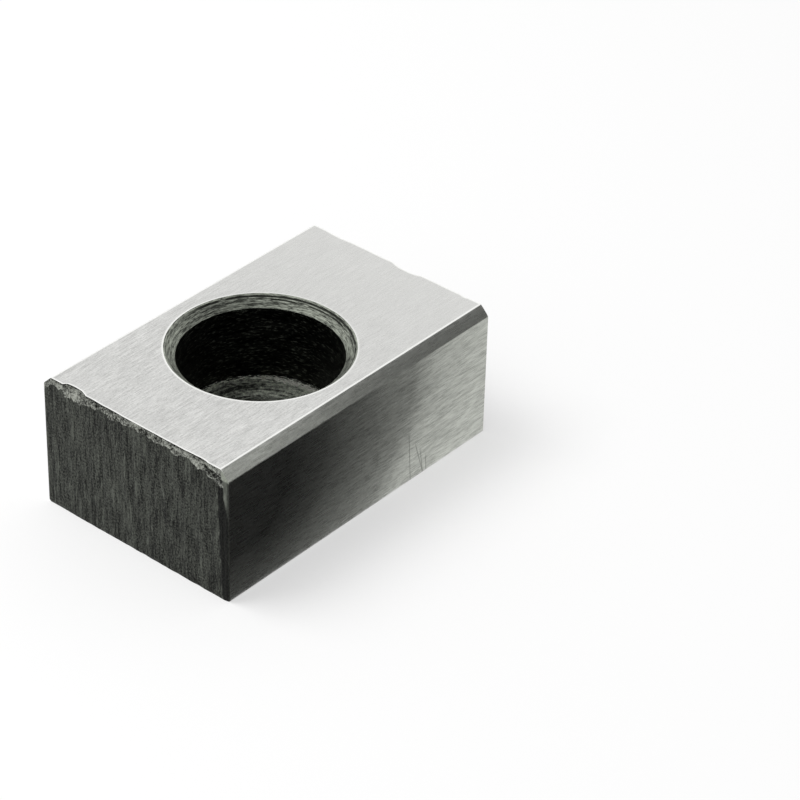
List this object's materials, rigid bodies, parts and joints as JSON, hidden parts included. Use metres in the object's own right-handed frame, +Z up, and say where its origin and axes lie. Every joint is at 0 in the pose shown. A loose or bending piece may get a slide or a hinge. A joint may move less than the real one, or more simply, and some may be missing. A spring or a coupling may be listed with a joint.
{
  "type": "t slot nut",
  "caption": "Rectangular steel slot nut, counterbored and tapped M6, with chamfered long edges, ground faces and sawn, chipped ends.",
  "frame": {"origin": "middle of the base, in the middle of the length and of the width", "axes": "+X along the length, +Y across the ground sides (across the slot), +Z up, towards the open side of the counterbore"},
  "size_m": [0.025, 0.016, 0.01],
  "materials": {
    "steel": "ground satin on the long faces and the top, dark sawn ends, turned counterbore"
  },
  "bodies": {
    "root": {"slot_nut": "steel"}
  },
  "joints": []
}
